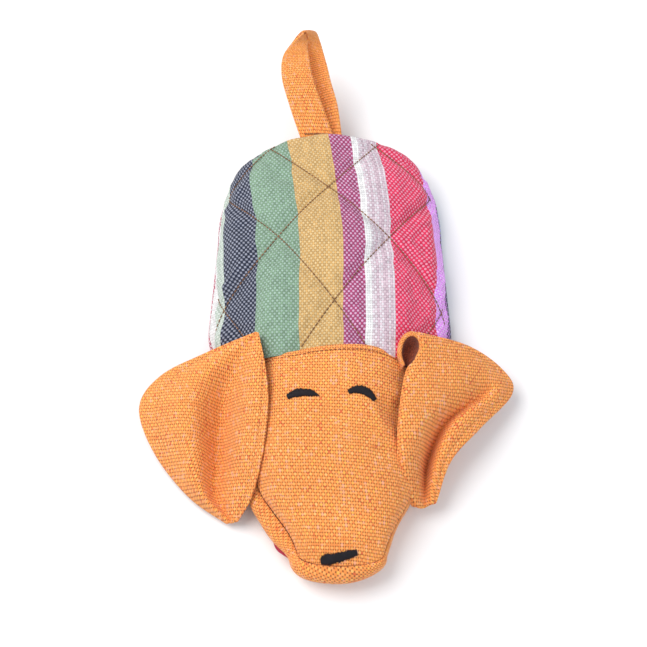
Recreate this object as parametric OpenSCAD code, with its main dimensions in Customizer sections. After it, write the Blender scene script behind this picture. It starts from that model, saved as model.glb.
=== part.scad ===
// Quilted dog hand puppet: a padded mitt with a striped body, a soft head whose mouth opens
// between fingers and thumb, two flap ears and a strap loop for a tail.
// It rests on its belly. +Z is up, the snout points along -Y and the tail loop along +Y.
// The origin is the middle of the belly's flat face.

/* [Body] */
// Width of the quilted body across its middle
body_w = 124; // [112:1:134]
// Length of the body from the neck line to the rear edge
body_l = 126; // [118:1:136]
// Height of the back over the hand, just behind the neck
body_h = 40; // [38:1:44]
// Height of the back's rear edge, which arches over the hand opening
rear_h = 26; // [24:1:30]
// Height that the side edges of the back rise to at the rear
rear_lift = 12; // [8:1:14]

// Side of a quilted square
quilt_cell = 43; // [36:1:50]

/* [Head] */
// Width of the head across its cheeks
head_w = 87; // [84:1:92]
// Length of the head from the neck line to the tip of the snout
head_l = 125; // [118:1:132]
// Height of the forehead
head_h = 44; // [42:1:47]
// Height of the tip of the snout
snout_h = 25; // [24:1:28]
// Thickness of the lower jaw, up to the mouth line
jaw_h = 12.8; // [12.2:0.2:14]

/* [Layers] */
// Thickness of the woven outer cloth
cloth_t = 1.4; // [1:0.1:1.6]
// Thickness of the quilt wadding
wadding_t = 4; // [3:0.5:4.5]
// Thickness of the lining cloth
lining_t = 1; // [0.8:0.1:1.2]

/* [Ears] */
// Thickness of one of an ear's two cloth layers
ear_t = 1.5; // [1:0.1:1.6]
// Height of the sewn ear root above the belly
ear_root_h = 36; // [35:1:38]
// Slope of an ear down and away from the head, in degrees
ear_out_tilt = 19; // [15:1:19]
// Slope of an ear down towards the snout, in degrees
ear_front_tilt = 13; // [10:1:13]

/* [Tail loop] */
// Width of the strap
strap_w = 15; // [12:1:18]
// Length of the loop when it is laid out
strap_l = 54; // [48:1:60]
// Thickness of the folded strap
strap_t = 1.8; // [1.4:0.2:2.2]
// Width of the eye at the end of the loop
loop_gap = 9; // [8:1:11]

/* [Motion] */
// Largest upward turn of the head that the neck leaves room for, in degrees
head_lift = 30; // [20:1:32]
// Largest downward turn of the jaw that the throat leaves room for, in degrees
jaw_drop = 25; // [15:1:27]

/* [Hidden] */
gap = 0.1;                      // between neighbouring layers
clearance = 1;                  // between the body and the parts that turn against it
neck_y = -body_l / 2;           // hinge line of the head and of the jaw
rear_y = body_l / 2;            // rear edge of the body
neck_z = 22;                    // height of the head's hinge line
head_y = neck_y - 2.5;          // rear edge of the head and of the jaw
tip_y = head_y - head_l;        // tip of the snout
quilt_t = cloth_t + wadding_t + lining_t + 2 * gap;
belly_top = quilt_t;            // upper face of the belly's layers
mouth_z = jaw_h + 0.4;          // underside of the upper head
palate_t = 2;                   // mouth cloth with its stiffening
lip_t = 2.5;                    // thickness of the padded lip
belly_front = 58 / 63;          // where the belly ends, as a part of the way to the neck
throat_y = neck_y * belly_front;

// Plan of the body
round_y = 7.5;                  // where the rear end starts to round off
round_end = 0.985;              // part of the rear half ellipse that is kept
flare = 5;                      // how much wider each side is at the shoulders
shoulder_y = -45;               // where the shoulders start to turn in
shoulder_l = 22;
shoulder_in = 20;

// Plan of the head
cheek_share = 0.645;            // where the head is widest, as a part of its length
snout_end = 0.97;               // part of the snout's curve that is kept
neck_in = 3;                    // how much narrower each side is at the neck
cheek_z = 22;                   // height of the lip seam at the neck
lip_z = 16;                     // height of the lip seam at the tip of the snout
tip_draw = 1.2;                 // how far the snout's end is drawn in front of its outline
brow_share = 0.22;              // where the head is highest, as a part of its length
brow_drop = 0.2;                // how much of its rise the head loses at the neck

rows = 12;                      // steps along a padded shell
columns = 16;                   // steps across a padded shell

orange_cloth = [0.86, 0.48, 0.16];
orange_light = [0.92, 0.60, 0.28];
wadding_white = [0.93, 0.92, 0.88];
lining_cream = [0.90, 0.84, 0.72];
crimson_cloth = [0.66, 0.10, 0.20];
thread_navy = [0.07, 0.07, 0.12];
thread_tan = [0.75, 0.48, 0.22];
sage_cloth = [0.52, 0.60, 0.45];
red_cloth = [0.78, 0.18, 0.28];

// ---- shapes ----

function clamp(v) = min(1, max(0, v));
function smooth(v) = let (t = clamp(v)) t * t * (3 - 2 * t);
function mix(a, b, t) = a + (b - a) * t;

// Half of the body's width at a place along it
function body_half(y) = y > round_y
    ? body_w / 2 * sqrt(1 - pow((y - round_y) * round_end / (rear_y - round_y), 2))
    : body_w / 2 + flare * clamp((round_y - y) / (round_y - neck_y))
        - shoulder_in * (1 - sqrt(1 - pow(clamp((shoulder_y - y) / shoulder_l), 2)));

// One point of the back at share s from neck to rear and angle a across, inset by depth d
function back_top(s) = mix(body_h, rear_h, pow(s, 2.5));
function back_base(s) = belly_top + gap + rear_lift * smooth((s - 0.6) / 0.4);
function neck_front(z) = neck_y + clearance + max(0, z - neck_z) * tan(head_lift + 2);
function back_point(s, a, d) = let (
    z = mix(back_base(s), back_top(s) - d, cos(a)),
    y = mix(neck_front(z), rear_y, s)
) [(body_half(y) - d) * sin(a), y, z];
function back_grid(d) = [for (i = [0 : rows]) [for (j = [0 : columns])
    back_point(1 - pow(1 - i / rows, 1.5), 180 * j / columns - 90, d)]];

// Half of the head's width, its seam height and its top height at a place along it
function head_share(y) = clamp((head_y - y) / head_l);
function head_half(y) = let (
    s = head_share(y),
    t = clamp((s - cheek_share) / (1 - cheek_share)) * snout_end
) (head_w / 2 - neck_in * (1 - clamp(s / cheek_share))) * pow(1 - pow(t, 1.5), 0.6);
function head_base(y) = mix(cheek_z, lip_z, head_share(y));
function head_top(y) = let (
    s = head_share(y),
    fall = s > brow_share ? pow((s - brow_share) / (1 - brow_share), 2)
                          : brow_drop * pow(1 - s / brow_share, 2)
) mix(head_h, snout_h, fall);
function head_point(y, a, d) =
    [(head_half(y) - d) * sin(a), y, mix(head_base(y), head_top(y) - d, cos(a))];
function head_row(i, d) = [for (j = [0 : columns])
    head_point(mix(tip_y + d, head_y, pow(i / rows, 1.5)), 180 * j / columns - 90, d)];
// Last row in front, which draws the tip in and closes it down to the lip seam
function tip_row(d) = [for (p = head_row(0, d)) [p[0] * 0.8, p[1] - tip_draw, lip_z]];
function head_grid(d) = concat([tip_row(d)], [for (i = [0 : rows]) head_row(i, d)]);
// Point above the head's surface at a place in plan, by height h
function on_head(x, y, h) =
    [x, y, mix(head_base(y), head_top(y), sqrt(1 - pow(x / head_half(y), 2))) + h];
function head_side(d, side) = [for (i = [0 : rows])
    let (y = mix(head_y, tip_y + d, 1 - pow(1 - i / rows, 1.5))) [side * (head_half(y) - d), y]];
function reversed(list) = [for (i = [len(list) - 1 : -1 : 0]) list[i]];
function head_outline(d) = concat(head_side(d, -1), reversed(head_side(d, 1)));

// Smooth closed curve through a few points
function spline(a, b, c, d, t) = 0.5 * (2 * b + (c - a) * t
    + (2 * a - 5 * b + 4 * c - d) * t * t + (3 * b - a - 3 * c + d) * t * t * t);
function smooth_loop(p, steps) = let (n = len(p)) [for (i = [0 : n - 1], k = [0 : steps - 1])
    spline(p[(i + n - 1) % n], p[i], p[(i + 1) % n], p[(i + 2) % n], k / steps)];

function quad(a, b, c, d) = [[a, b, c], [a, c, d]];

// Closed solid between an upper and a lower grid of points, given as rows of equal length
module slab(upper, lower) {
    n = len(upper);
    m = len(upper[0]);
    function up(i, j) = i * m + j;
    function low(i, j) = n * m + i * m + j;
    polyhedron(points = concat([for (row = upper) each row], [for (row = lower) each row]), faces = [
        for (i = [0 : n - 2], j = [0 : m - 2]) each concat(
            quad(up(i, j), up(i + 1, j), up(i + 1, j + 1), up(i, j + 1)),
            quad(low(i, j), low(i, j + 1), low(i + 1, j + 1), low(i + 1, j))),
        for (i = [0 : n - 2]) each concat(
            quad(up(i + 1, 0), up(i, 0), low(i, 0), low(i + 1, 0)),
            quad(up(i, m - 1), up(i + 1, m - 1), low(i + 1, m - 1), low(i, m - 1))),
        for (j = [0 : m - 2]) each concat(
            quad(up(0, j), up(0, j + 1), low(0, j + 1), low(0, j)),
            quad(up(n - 1, j + 1), up(n - 1, j), low(n - 1, j), low(n - 1, j + 1)))
    ], convexity = 6);
}

// Flat layer of the belly between two heights
module belly_layer(low, high, inset) {
    steps = 2 * rows;
    ys = [for (i = [0 : steps]) mix(throat_y, rear_y - inset, 1 - pow(1 - i / steps, 1.5))];
    left = [for (y = ys) [-(body_half(y) - inset), y]];
    right = [for (y = reversed(ys)) [body_half(y) - inset, y]];
    translate([0, 0, low]) linear_extrude(high - low) polygon(concat(left, right));
}

// Flat layer that fills the head's outline between two heights
module mouth_layer(low, high, inset) {
    translate([0, 0, low]) linear_extrude(high - low) polygon(head_outline(inset));
}

// ---- body ----

cloth_in = cloth_t;
wadding_in = cloth_t + gap;
wadding_out = wadding_in + wadding_t;
lining_in = wadding_out + gap;
lining_out = lining_in + lining_t;

module back_panel() color(sage_cloth) slab(back_grid(0), back_grid(cloth_in));
module back_wadding() color(wadding_white) slab(back_grid(wadding_in), back_grid(wadding_out));
module back_lining() color(lining_cream) slab(back_grid(lining_in), back_grid(lining_out));
module belly_panel() color(red_cloth) belly_layer(0, cloth_t, 0);
module belly_wadding() color(wadding_white)
    belly_layer(cloth_t + gap, cloth_t + gap + wadding_t, 0.5);
module belly_lining() color(lining_cream) belly_layer(belly_top - lining_t, belly_top, 0.5);

// Quilting lines run both ways at 45 degrees and cross in a diamond grid over the back
quilt_half = quilt_cell / sqrt(2);
quilt_start = 0.12;             // share of the back where two lines cross on its middle
quilt_edge = 72;                // where the lines end at the sides, in degrees across
quilt_turn = asin(quilt_half / (body_w / 2));
quilt_share = quilt_half / (rear_y - neck_front(body_h));
quilt_steps = 40;
thread_w = 0.8;
thread_t = 0.5;
thread_lift = 0.7;              // over the cloth, whose facets it has to clear
function quilt_angle(s, k) = quilt_turn * ((s - quilt_start) / quilt_share + 2 * k);
function quilt_rows(side, k, h) = [for (i = [0 : quilt_steps])
    let (s = mix(0.02, 0.97, i / quilt_steps), a = side * quilt_angle(s, k))
    if (abs(a) <= quilt_edge) [for (e = [-1, 1]) back_point(s, a + e * thread_w / 2, -h)]];
module quilt_line(side, k, h) {
    low = quilt_rows(side, k, h);
    if (len(low) > 1) slab(quilt_rows(side, k, h + thread_t), low);
}
// The lines of the second direction pass over those of the first
module quilting_thread() color(thread_tan) for (k = [-2 : 1]) {
    quilt_line(1, k, thread_lift);
    quilt_line(-1, k, thread_lift + thread_t + gap);
}

// ---- head ----

module head_panel() color(orange_cloth) slab(head_grid(0), head_grid(cloth_in));
module head_wadding() color(wadding_white) slab(head_grid(wadding_in), head_grid(wadding_out));
module head_lining() color(lining_cream) slab(head_grid(lining_in), head_grid(lining_out));

function lip_rows(z_of) = [for (side = [-1, 1]) each
    let (outer = head_side(0, side), inner = head_side(lip_t, side),
         order = side < 0 ? [0 : rows] : [rows : -1 : 0])
    [for (i = order) [for (p = [inner[i], outer[i]]) [p[0], p[1], z_of(p[1])]]]];
module lip_band() color(orange_cloth)
    slab(lip_rows(function (y) head_base(y) - 2 * gap), lip_rows(function (y) mouth_z));

module palate() color(crimson_cloth) mouth_layer(mouth_z, mouth_z + palate_t, lip_t + gap);

// Closed eyes: each an arch of satin stitch
eye_x = 15.5;                   // from the middle of the face
eye_y = head_y - 30;            // ends of the arch
eye_w = 16;
eye_rise = 5.5;
eye_t = 4;                      // width of the satin stitch
satin_t = 1.2;                  // how far the satin stitch stands up
satin_lift = 0.4;               // over the cloth, whose facets it has to clear
function eye_rows(side, h) = [for (i = [0 : 10]) let (
    u = i / 5 - 1,
    x = side * eye_x + u * eye_w / 2,
    y = eye_y + eye_rise * (1 - u * u),
    half = eye_t / 2 * (1 - 0.6 * u * u)
) [on_head(x, y + half, h), on_head(x, y - half, h)]];
module eye(side) color(thread_navy)
    slab(eye_rows(side, satin_lift + satin_t), eye_rows(side, satin_lift));
module left_eye() eye(-1);
module right_eye() eye(1);

// Nose: a straight bar of satin stitch on the end of the snout
nose_x = 3;
nose_y = tip_y + 8;
nose_w = 19;
nose_l = 4.5;
function nose_rows(h) = [for (i = [0 : 8]) let (x = nose_x + nose_w * (i / 8 - 0.5))
    [on_head(x, nose_y + nose_l / 2, h), on_head(x, nose_y - nose_l / 2, h)]];
module nose() color(thread_navy) slab(nose_rows(satin_lift + satin_t), nose_rows(satin_lift));

// Topstitching along the neck edge of the head
neck_stitch_in = 2;
function neck_rows(h) = [for (i = [0 : 24])
    [for (k = [0, 1]) head_point(head_y - neck_stitch_in - k * thread_w, mix(-70, 70, i / 24), -h)]];
module neck_stitches() color(thread_tan)
    slab(neck_rows(satin_lift + thread_t), neck_rows(satin_lift));

// ---- jaw ----

jaw_in = 1;                     // how far the jaw stays inside the upper lip
jaw_wall = jaw_in + cloth_t;
module jaw_panel() color(orange_cloth) difference() {
    mouth_layer(0, jaw_h, jaw_in);
    mouth_layer(cloth_t, jaw_h + 1, jaw_wall);
    translate([-head_w / 2 + jaw_wall + neck_in, head_y - 5, cloth_t])
        cube([head_w - 2 * (jaw_wall + neck_in), 10, jaw_h]);
}
module jaw_wadding() color(wadding_white)
    mouth_layer(cloth_t + gap, cloth_t + gap + 3, jaw_wall + gap);
module jaw_lining() color(lining_cream)
    mouth_layer(cloth_t + 3 + 2 * gap, cloth_t + 3 + 2 * gap + 0.8, jaw_wall + gap);
module mouth_floor() color(crimson_cloth) mouth_layer(jaw_h - palate_t, jaw_h, jaw_wall + gap);

// ---- ears ----

// Outlines as [away from the head, towards the snout], from the rear end of the sewn root
left_ear_plan = [[0, 1], [30, 0], [56, 10], [63, 28], [52, 56], [32, 78], [14, 87], [5.5, 72],
    [4.5, 36], [0, 15]];
right_ear_plan = [[0, 1], [33, 0], [54, 8], [58, 21], [40, 42], [27, 54], [19, 72], [9, 81],
    [4, 68], [4.5, 36], [0, 15]];
ear_root_x = 42;
ear_root_y = head_y - 1;
ear_seam_in = 0.9;              // scale of the stitch line inside the turned edge

// Puts an ear drawn as [out, forward] in its place beside the head
module place_ear(side) translate([side * ear_root_x, ear_root_y, ear_root_h])
    mirror([side < 0 ? 1 : 0, 0, 0])
    rotate([ear_front_tilt, 0, 0]) rotate([0, ear_out_tilt, 0]) mirror([0, 1, 0]) children();
module ear_layer(plan, low) translate([0, 0, low]) linear_extrude(ear_t)
    polygon(smooth_loop(plan, 5));
function shrunk(plan, k) = let (c = [27, 38]) [for (p = plan) c + (p - c) * k];
module ear_stitches(plan) color(thread_tan) translate([0, 0, gap]) linear_extrude(thread_t)
    difference() {
        polygon(smooth_loop(shrunk(plan, ear_seam_in), 5));
        polygon(smooth_loop(shrunk(plan, ear_seam_in - 0.03), 5));
    }
module left_ear_front() color(orange_cloth) place_ear(-1) ear_layer(left_ear_plan, -ear_t);
module left_ear_back() color(orange_light) place_ear(-1) ear_layer(left_ear_plan, -2 * ear_t - gap);
module left_ear_stitches() place_ear(-1) ear_stitches(left_ear_plan);
module right_ear_front() color(orange_cloth) place_ear(1) ear_layer(right_ear_plan, -ear_t);
module right_ear_back() color(orange_light) place_ear(1) ear_layer(right_ear_plan, -2 * ear_t - gap);
module right_ear_stitches() place_ear(1) ear_stitches(right_ear_plan);

// ---- tail loop ----

loop_x = -4.5;                  // the loop is sewn on a little to one side
loop_y = rear_y + 2.5;          // hinge line of the loop
loop_z = 20;
loop_tilt = 15;                 // above the horizontal, in degrees
loop_lean = 7;                  // sideways, in degrees
bend_r = loop_gap / 2 + strap_t / 2;
leg_l = strap_l - bend_r;
leg_turn = asin((bend_r - strap_t / 2) / leg_l);

// Side view of the strap: two legs that part from the seam, and the bend that joins them
module loop_profile() {
    for (side = [-1, 1])
        translate([0, side * strap_t / 2]) rotate(side * leg_turn)
            translate([0, -strap_t / 2]) square([leg_l / cos(leg_turn), strap_t]);
    translate([leg_l, 0]) intersection() {
        difference() {
            circle(r = bend_r + strap_t / 2, $fn = 48);
            circle(r = bend_r - strap_t / 2, $fn = 48);
        }
        translate([-0.4, -2 * bend_r]) square([2 * bend_r, 4 * bend_r]);
    }
}
module place_loop() translate([loop_x, loop_y, loop_z]) rotate([loop_tilt, 0, loop_lean])
    children();
module tail_loop() color(orange_cloth) place_loop() rotate([90, 0, 90])
    translate([0, 0, -strap_w / 2]) linear_extrude(strap_w) loop_profile();
tack_w = 10;
tack_l = 1.6;
module tail_tack() color(thread_tan) place_loop()
    translate([-tack_w / 2, 4, strap_t + 0.8]) cube([tack_w, tack_l, thread_t]);

back_panel();
back_wadding();
back_lining();
belly_panel();
belly_wadding();
belly_lining();
quilting_thread();
head_panel();
head_wadding();
head_lining();
lip_band();
palate();
left_eye();
right_eye();
nose();
neck_stitches();
jaw_panel();
jaw_wadding();
jaw_lining();
mouth_floor();
left_ear_front();
left_ear_back();
left_ear_stitches();
right_ear_front();
right_ear_back();
right_ear_stitches();
tail_loop();
tail_tack();
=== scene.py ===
"""Quilted dog hand puppet: the looks of its cloth, stitches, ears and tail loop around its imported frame.

Sizes inside the shape functions are millimetres in the frame's own axes: +Z up, snout along -Y.
Each piece becomes a mesh in metres when it is made.
"""

import math
import random

import bmesh
import bpy
from bpy.props import FloatProperty, FloatVectorProperty, IntProperty, PointerProperty
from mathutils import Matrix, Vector


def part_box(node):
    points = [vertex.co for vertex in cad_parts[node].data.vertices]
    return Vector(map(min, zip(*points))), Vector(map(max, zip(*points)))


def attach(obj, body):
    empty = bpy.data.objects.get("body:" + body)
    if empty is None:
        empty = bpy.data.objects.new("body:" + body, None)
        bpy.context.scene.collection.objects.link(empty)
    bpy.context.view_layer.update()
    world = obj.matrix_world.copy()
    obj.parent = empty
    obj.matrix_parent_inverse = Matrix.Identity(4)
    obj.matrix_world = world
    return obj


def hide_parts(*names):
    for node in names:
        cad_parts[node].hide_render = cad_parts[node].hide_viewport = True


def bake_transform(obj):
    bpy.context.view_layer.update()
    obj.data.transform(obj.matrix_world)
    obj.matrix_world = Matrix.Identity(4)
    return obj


bl_info = {
    "name": "Quilted Hand Puppet",
    "version": (1, 0, 0),
    "blender": (4, 5, 0),
    "location": "View3D > Sidebar > Puppet",
    "description": "Makes a quilted dog hand puppet from woven cloth, stitches and padding",
    "category": "Add Mesh",
}

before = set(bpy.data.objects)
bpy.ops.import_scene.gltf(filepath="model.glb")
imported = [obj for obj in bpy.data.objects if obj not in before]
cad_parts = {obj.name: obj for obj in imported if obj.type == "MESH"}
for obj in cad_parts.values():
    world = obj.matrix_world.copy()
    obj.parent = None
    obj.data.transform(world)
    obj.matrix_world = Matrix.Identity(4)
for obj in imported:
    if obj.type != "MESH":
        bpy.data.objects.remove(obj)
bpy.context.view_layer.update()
MM = 0.001

BACK_HIGH = Vector(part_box("back_panel")[1]) / MM
NECK_Y = (Vector(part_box("head_panel")[1]) / MM).y  # rear edge of the head


# ---- sums and curves ----


def clamp(value, low=0.0, high=1.0):
    return max(low, min(high, value))


def smooth(value):
    """Eases from 0 to 1."""
    value = clamp(value)
    return value * value * (3 - 2 * value)


def mix(a, b, share):
    return a + (b - a) * share


def bump_at(value, middle, width):
    """A round bump, 1 high at its middle."""
    return math.exp(-(((value - middle) / width) ** 2))


def spline(points, share):
    """Place at a share along a smooth curve through a few points, or through plain numbers."""
    if not hasattr(points[0], "__len__"):
        return spline([(number, 0) for number in points], share).x
    last = len(points) - 1
    place = clamp(share) * last
    i = min(int(place), last - 1)
    t = place - i
    b, c = Vector(points[i]), Vector(points[i + 1])
    a = Vector(points[i - 1]) if i > 0 else 2 * b - c
    d = Vector(points[i + 2]) if i + 2 <= last else 2 * c - b
    return 0.5 * (2 * b + (c - a) * t + (2 * a - 5 * b + 4 * c - d) * t * t
                  + (3 * b - a - 3 * c + d) * t * t * t)


def signed_power(value, power):
    """A power that keeps the value's sign."""
    return math.copysign(abs(value) ** power, value)


# ---- body shape ----

BODY_HALF = 62.5
ROUND_Y = 7.5  # where the rear end starts to round off
REAR_Y = BACK_HIGH.y + 2.5
FLARE = 4.5
SHOULDER_Y, SHOULDER_L, SHOULDER_IN = -44, 30, 25
BASE_Z = 6.7
BACK_TOP, REAR_TOP = BACK_HIGH.z + 0.5, 25.5
QUILT_ACROSS, QUILT_ALONG = 30.8, 36  # half a diamond's diagonals, on the whole
QUILT_STEP, QUILT_SHRINK = 42.9, 4.2  # first row's length along the back and how the next gets shorter
QUILT_LAST = 28  # length of the rows from the second on
STITCH_REACH = 220  # stitches tried to each side of the first crossing
QUILT_X, QUILT_Y = 2.3, -38.9  # where two quilting lines cross
BACK_EDGE_IN = 1.5  # the belly shows this far outside the back
PAD_T = 5.6
SIDE_CLOTH = 13  # cloth that runs down each side of the back
# Shares of the back's cloth beyond its sides, its front end and its rear end
SIDE_ROLL, FRONT_TURN, REAR_ROLL = 0.06, 0.05, 0.04
ROLL_CLOTH = 6  # length of the cloth that is rolled under


def body_half(y):
    """Half width of the body at a place along it."""
    if y > ROUND_Y:
        t = clamp((y - ROUND_Y) / (REAR_Y + 0.6 - ROUND_Y))
        return BODY_HALF * (1 - t ** 2.5) ** 0.4
    wide = FLARE * clamp((ROUND_Y - y) / 60)
    turn = clamp((SHOULDER_Y - y) / SHOULDER_L)
    return BODY_HALF + wide - SHOULDER_IN * (1 - math.sqrt(1 - turn * turn))


def cloth_lean(y):
    """The striped cloth is laid on a little askew towards the rear."""
    return 8 * clamp((y + 5) / 72) ** 1.3


def quilt_place(row):
    """Place along the back of a row, counted from the crossing nearest the neck."""
    near = min(row, 2)
    return QUILT_Y + QUILT_STEP * near - QUILT_SHRINK * near ** 2 + QUILT_LAST * max(0.0, row - 2)


def quilt_row(along):
    """Row at a place along the back; the other way round from quilt_place."""
    beyond = along - quilt_place(2)
    if beyond > 0:
        return 2 + beyond / QUILT_LAST
    left = QUILT_STEP ** 2 - 4 * QUILT_SHRINK * (along - QUILT_Y)
    return (QUILT_STEP - math.sqrt(left)) / (2 * QUILT_SHRINK)


def quilt_signs(across, along):
    """The two diagonal coordinates, whole and even on the quilting lines."""
    a = (across - QUILT_X) / QUILT_ACROSS
    b = quilt_row(along)
    return a + b, a - b


def quilt_distance(across, along):
    """Distance to the nearest quilting line."""
    scale = QUILT_ACROSS * QUILT_ALONG / math.hypot(QUILT_ACROSS, QUILT_ALONG)
    return min(abs((s + 1) % 2 - 1) * scale for s in quilt_signs(across, along))


def back_base(share):
    """Height of the back's lower edge, which lifts at the rear for the hand."""
    return BASE_Z + 11 * smooth((share - 0.62) / 0.38)


def back_shell(across, share, depth=0.0):
    """Place on the back, across -1..1 and share 0..1 from neck to rear, inset by a depth."""
    y = mix(NECK_Y - 4, REAR_Y, share)
    turn = clamp(across, -1, 1) * math.pi / 2
    top = mix(BACK_TOP, REAR_TOP, clamp(share) ** 2.5) - depth
    base = back_base(share)
    half = body_half(y) - BACK_EDGE_IN - depth
    x = half * signed_power(math.sin(turn), 0.96)
    return Vector((x, y, base + (top - base) * math.cos(turn) ** 0.86))


def back_flat(place):
    """Flat place in the striped cloth; the last of its width runs down the side."""
    half = max(1.0, body_half(place.y) - BACK_EDGE_IN)
    turn = math.asin(min(1.0, abs(place.x) / half)) / (math.pi / 2)
    return Vector((place.x + math.copysign(SIDE_CLOTH * turn ** 9, place.x) + cloth_lean(place.y), place.y))


def back_shares(u, v):
    """Where a place of the back's cloth lies across and along; beyond the ends it is rolled under."""
    return (2 * u - 1) * (1 + SIDE_ROLL), v * (1 + FRONT_TURN + REAR_ROLL) - FRONT_TURN


def back_cover_at(u, v):
    """The back's cloth with its puffs and sunken quilting lines, and its edges rolled under."""
    across, share = back_shares(u, v)
    closing = clamp(-share / FRONT_TURN)
    share = max(share, 0)
    side_roll = max(0.0, abs(across) - 1) / SIDE_ROLL
    rear_roll = max(0.0, share - 1) / REAR_ROLL
    roll = max(side_roll, rear_roll)
    flat = back_flat(back_shell(across, min(share, 1)))
    edge = min((1 - abs(across)) * 60, (1 - share) * 120, 12)
    puff = 2.3 * smooth(quilt_distance(*flat) / 8) ** 0.8 - 1.5
    puff *= smooth(edge / 7)
    depth = PAD_T * smooth(roll) - puff if roll > 0 else -puff - 0.7 * smooth(1 - edge / 5)
    place = back_shell(across, min(share, 1), depth)
    place.z -= 0.9 * math.sin(math.pi * clamp(side_roll)) + 1.6 * math.sin(math.pi * clamp(rear_roll))
    place.y += 1.4 * math.sin(math.pi * clamp(rear_roll)) ** 0.7
    # beside the head the front edge turns down and closes the shoulder
    shut = closing * mix(0.06, 1, smooth((abs(place.x) - 36) / 6))
    place.z = mix(place.z, 6.5, smooth(shut))
    place.y -= 2.5 * math.sin(math.pi / 2 * shut)
    return place


def back_cover_flat(u, v):
    """Flat place of the back's cloth with what is rolled under."""
    across, share = back_shares(u, v)
    flat = back_flat(back_shell(across, clamp(share)))
    flat.y -= 22 * clamp(-share / FRONT_TURN)
    extra = max(0.0, abs(across) - 1) / SIDE_ROLL * ROLL_CLOTH
    return flat + Vector((math.copysign(extra, across), max(0.0, share - 1) / REAR_ROLL * ROLL_CLOTH))


BELLY_ROUND = 3.4  # radius of the belly pad's rounded edge
BELLY_WIDE, BELLY_LONG = 0.86, 0.92  # shares of the belly's cloth that lie flat underneath


def belly_turns(u, v):
    """Place across the belly's flat part, and how far the side and the rear end have turned over."""
    across = (2 * u - 1) / BELLY_WIDE
    return across, math.pi * clamp((abs(across) - 1) / 0.163), math.pi * clamp((v - BELLY_LONG) / 0.08)


def belly_at(u, v):
    """Belly pad: flat underneath, with round sides that turn over at the top."""
    across, roll, end = belly_turns(u, v)
    y = mix(NECK_Y - 6, REAR_Y - 1, min(v / BELLY_LONG, 1))
    half = max(2.0, body_half(y) + 0.6 - BELLY_ROUND)
    x = half * clamp(across, -1, 1) + math.copysign(BELLY_ROUND * math.sin(roll), across)
    y += BELLY_ROUND * math.sin(end) * (1 - 0.5 * abs(across) ** 3 * (abs(across) < 1))
    return Vector((x, y, BELLY_ROUND * (1 - math.cos(max(roll, end)))))


def belly_flat(u, v):
    """Flat place in the belly's cloth, whose stripes run straight to the rear."""
    place = belly_at(u, v)
    across, roll, end = belly_turns(u, v)
    half = body_half(place.y) - 2.8
    return Vector((half * clamp(across, -1, 1) + math.copysign(BELLY_ROUND * roll, across),
                   place.y + 70 + BELLY_ROUND * end))


# ---- head shape ----

# Rows of the head's top panel: side y, middle x, half width, seam z, top z, forward bow
HEAD_ROWS = [
    (-72.5, 1.5, 40.5, 19.5, 42.0, -7.5),
    (-90.0, 1.0, 42.0, 19.0, 44.0, -4.0),
    (-108.0, 1.0, 43.0, 18.5, 42.5, -1.5),
    (-124.0, 1.5, 42.0, 18.0, 38.5, -0.5),
    (-138.0, 3.0, 39.5, 17.5, 34.0, 0.0),
    (-149.0, 4.2, 33.5, 17.0, 30.0, 1.5),
    (-160.0, 5.2, 26.5, 16.5, 26.0, 4.0),
    (-170.5, 5.5, 22.0, 16.0, 20.5, 7.0),
]
HEAD_FLAT_HALF = 43  # half width of the head's cloth where it is widest
HEAD_SIDE_CLOTH = 9  # cloth that runs down each side of the head
FALL_DEPTH = 4.5  # how far the head falls away right of a line from the right eye to the ear's tip
# How far the neck edge wanders back and forth, from left to right
NECK_WAVE = [0, 0.5, -0.6, -1.5, -0.4, 0.9, 1.5, 0.4, -0.6, 0]


def head_at(u, v, depth=0.0):
    """Place on the head's top panel, u across from left to right and v from neck to front seam."""
    y, middle, half, base, top, bow = spline(HEAD_ROWS, v)
    turn = clamp(2 * u - 1, -1, 1) * math.pi / 2
    up = math.cos(turn) ** 0.85
    return Vector((middle + (half - depth) * math.sin(turn), y - bow * up,
                   base + (top - base - depth) * up))


def head_cover_at(u, v):
    """The head's cloth with its puff, its sunken middle and its wavy neck edge."""
    place = head_at(u, v)
    side = 1 - abs(2 * u - 1)
    seam = min(side * 55, (1 - v) * 105)
    puff = 1.2 * smooth(seam / 9) - 0.5
    sunk = 1.0 * bump_at(place.x, 0, 22) * bump_at(place.y, -106, 9)
    neck = 0.9 * (1 - smooth(v / 0.02))
    place.z += puff * math.sin(math.pi * clamp(u)) ** 0.5 - sunk - neck
    place.y += spline(NECK_WAVE, u) * (1 - smooth(v / 0.14))
    beyond = place.x - (22 - (place.y + 98) * 0.46)
    fall = smooth(beyond / 9) * smooth((-88 - place.y) / 12) * smooth((place.y + 146) / 14)
    place.z -= FALL_DEPTH * fall * (1 - abs(2 * u - 1) ** 8)
    return place


def head_flat(u, v):
    """Flat place in the head's cloth, whose threads follow its sides a little."""
    place = head_at(u, v)
    middle, half = spline(HEAD_ROWS, v)[1:3]
    side = (place.x - middle) / half
    across = mix(side * half, side * HEAD_FLAT_HALF, 0.3 * abs(side) ** 2.5)
    across += HEAD_SIDE_CLOTH * signed_power(across / HEAD_FLAT_HALF, 13)
    return Vector((across, place.y + 0.06 * place.x))


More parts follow.
